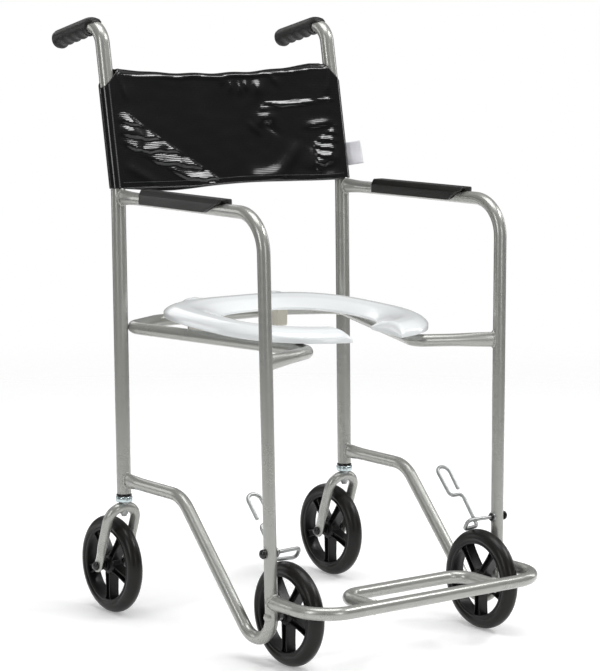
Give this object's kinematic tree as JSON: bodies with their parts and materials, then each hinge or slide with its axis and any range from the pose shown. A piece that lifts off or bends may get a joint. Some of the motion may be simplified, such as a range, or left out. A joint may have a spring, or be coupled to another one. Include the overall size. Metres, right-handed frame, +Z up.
{
  "type": "wheeled commode chair",
  "caption": "Wheeled commode and shower chair: bent tube frame, open-front plastic seat, vinyl sling back, armrests, footrest, rear casters and wire brake levers on the front wheels.",
  "frame": {"origin": "on the floor, under the middle of the bounding box", "axes": "+Z up, -Y the way the sitter faces, +X to the sitter's left"},
  "size_m": [0.5031, 0.6894, 0.922],
  "materials": {
    "silver_paint": "semi-gloss",
    "white_plastic": "gloss",
    "black_vinyl": "gloss",
    "white_cloth": "matte",
    "grip_rubber": "satin",
    "pad_plastic": "satin",
    "tyre_rubber": "matte",
    "rim_plastic": "satin",
    "zinc_plate": "bright",
    "cap_plastic": "gloss",
    "beige_plastic": "matte"
  },
  "bodies": {
    "frame": {"rear_post_left": "silver_paint", "side_frame_left": "silver_paint", "rear_post_right": "silver_paint", "side_frame_right": "silver_paint", "seat_frame": "silver_paint", "footrest_tube": "silver_paint", "footrest_inner_loop": "silver_paint", "backrest_sling": "black_vinyl", "backrest_tag": "white_cloth", "armrest_pad_left": "pad_plastic", "push_grip_left": "grip_rubber", "caster_cup_left": "zinc_plate", "caster_seal_left": "cap_plastic", "caster_sleeve_left": "cap_plastic", "front_axle_left": "zinc_plate", "front_axle_spacer_left": "zinc_plate", "front_axle_cap_left": "cap_plastic", "brake_bush_left": "cap_plastic", "armrest_pad_right": "pad_plastic", "push_grip_right": "grip_rubber", "caster_cup_right": "zinc_plate", "caster_seal_right": "cap_plastic", "caster_sleeve_right": "cap_plastic", "front_axle_right": "zinc_plate", "front_axle_spacer_right": "zinc_plate", "front_axle_cap_right": "cap_plastic", "brake_bush_right": "cap_plastic"},
    "caster_left": {"caster_fork_left": "silver_paint", "caster_stem_left": "zinc_plate", "caster_axle_left": "zinc_plate", "caster_axle_cap_outer_left": "cap_plastic", "caster_axle_cap_inner_left": "cap_plastic"},
    "caster_wheel_left": {"caster_tyre_left": "tyre_rubber", "caster_rim_left": "rim_plastic"},
    "front_wheel_left": {"front_tyre_left": "tyre_rubber", "front_rim_left": "rim_plastic"},
    "brake_left": {"brake_lever_left": "zinc_plate", "brake_cap_left": "cap_plastic"},
    "caster_right": {"caster_fork_right": "silver_paint", "caster_stem_right": "zinc_plate", "caster_axle_right": "zinc_plate", "caster_axle_cap_outer_right": "cap_plastic", "caster_axle_cap_inner_right": "cap_plastic"},
    "caster_wheel_right": {"caster_tyre_right": "tyre_rubber", "caster_rim_right": "rim_plastic"},
    "front_wheel_right": {"front_tyre_right": "tyre_rubber", "front_rim_right": "rim_plastic"},
    "brake_right": {"brake_lever_right": "zinc_plate", "brake_cap_right": "cap_plastic"},
    "seat": {"seat": "white_plastic", "seat_clip_left": "beige_plastic", "seat_clip_right": "beige_plastic", "seat_clip_screw_left": "zinc_plate", "seat_clip_screw_right": "zinc_plate", "seat_buffer_left": "cap_plastic", "seat_buffer_right": "cap_plastic"}
  },
  "joints": [
    {"name": "caster_swivel_left", "type": "hinge", "parent": "frame", "child": "caster_left", "pos_m": [0.216, 0.15705, 0.18], "axis": [0, 0, 1], "continuous": true},
    {"name": "caster_wheel_spin_left", "type": "hinge", "parent": "caster_left", "child": "caster_wheel_left", "pos_m": [0.216, 0.1923, 0.0762], "axis": [1, 0, 0], "continuous": true},
    {"name": "front_wheel_spin_left", "type": "hinge", "parent": "frame", "child": "front_wheel_left", "pos_m": [0.1835, -0.22351, 0.0762], "axis": [1, 0, 0], "continuous": true},
    {"name": "brake_lever_left_turn", "type": "hinge", "parent": "frame", "child": "brake_left", "pos_m": [0.21553, -0.22146, 0.169], "axis": [1, 0, 0], "range_deg": [0, 75]},
    {"name": "caster_swivel_right", "type": "hinge", "parent": "frame", "child": "caster_right", "pos_m": [-0.216, 0.15705, 0.18], "axis": [0, 0, 1], "continuous": true},
    {"name": "caster_wheel_spin_right", "type": "hinge", "parent": "caster_right", "child": "caster_wheel_right", "pos_m": [-0.216, 0.1923, 0.0762], "axis": [1, 0, 0], "continuous": true},
    {"name": "front_wheel_spin_right", "type": "hinge", "parent": "frame", "child": "front_wheel_right", "pos_m": [-0.1835, -0.22351, 0.0762], "axis": [1, 0, 0], "continuous": true},
    {"name": "brake_lever_right_turn", "type": "hinge", "parent": "frame", "child": "brake_right", "pos_m": [-0.21553, -0.22146, 0.169], "axis": [1, 0, 0], "range_deg": [0, 75]},
    {"name": "seat_lift", "type": "hinge", "parent": "frame", "child": "seat", "pos_m": [0, 0.1973, 0.451], "axis": [-1, 0, 0], "range_deg": [0, 65]}
  ]
}
